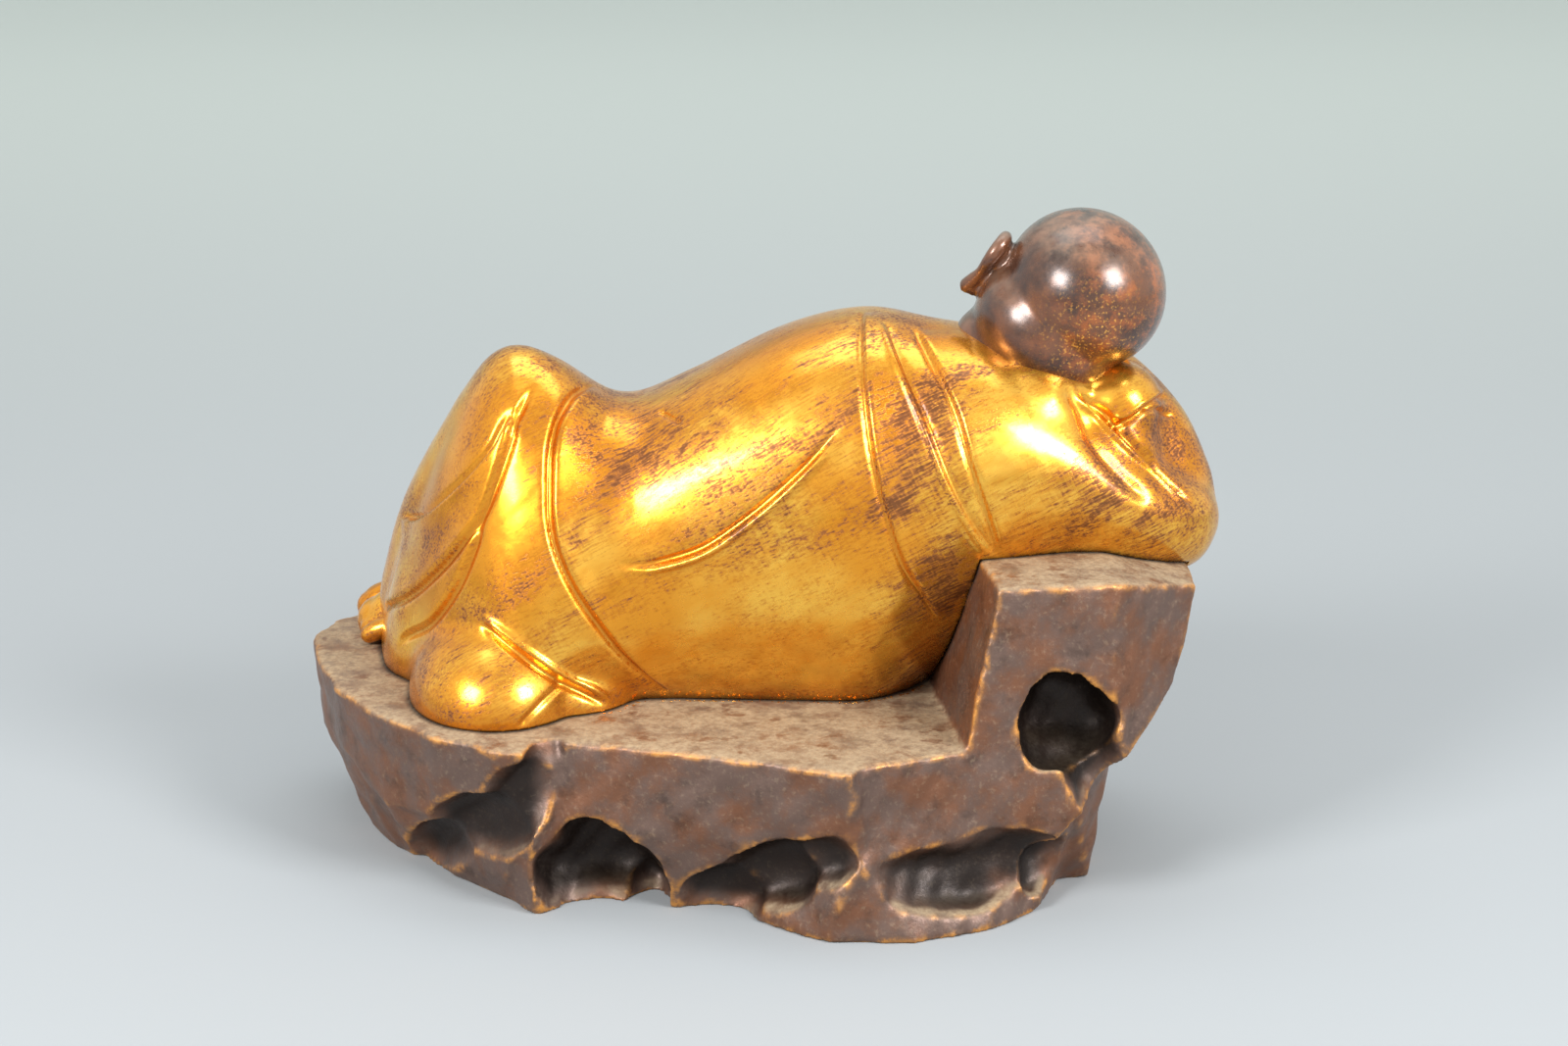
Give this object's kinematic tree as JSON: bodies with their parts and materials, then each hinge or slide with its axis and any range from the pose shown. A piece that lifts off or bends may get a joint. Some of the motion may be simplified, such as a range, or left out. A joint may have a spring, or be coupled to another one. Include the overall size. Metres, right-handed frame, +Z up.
{
  "type": "sleeping arhat statue",
  "caption": "Parcel-gilt bronze monk asleep on the right side, head on hand and elbow on a headrest of carved rock; stands on a table or shelf.",
  "frame": {"origin": "middle of the rock's and figure's bounding box, on the ground", "axes": "+X along the length towards the head, +Y the way the figure faces, +Z up; the picture looks along +Y"},
  "size_m": [0.372, 0.216, 0.2599],
  "materials": {
    "gilding": "fire gilding on cast bronze, burnished and worn to brown on the raised places; the head is left brown",
    "brown_patina": "cast bronze with a dark brown patina, rubbed along its edges, dusty on top"
  },
  "bodies": {
    "root": {"arhat_figure": "gilding", "rock_base": "brown_patina"}
  },
  "joints": []
}
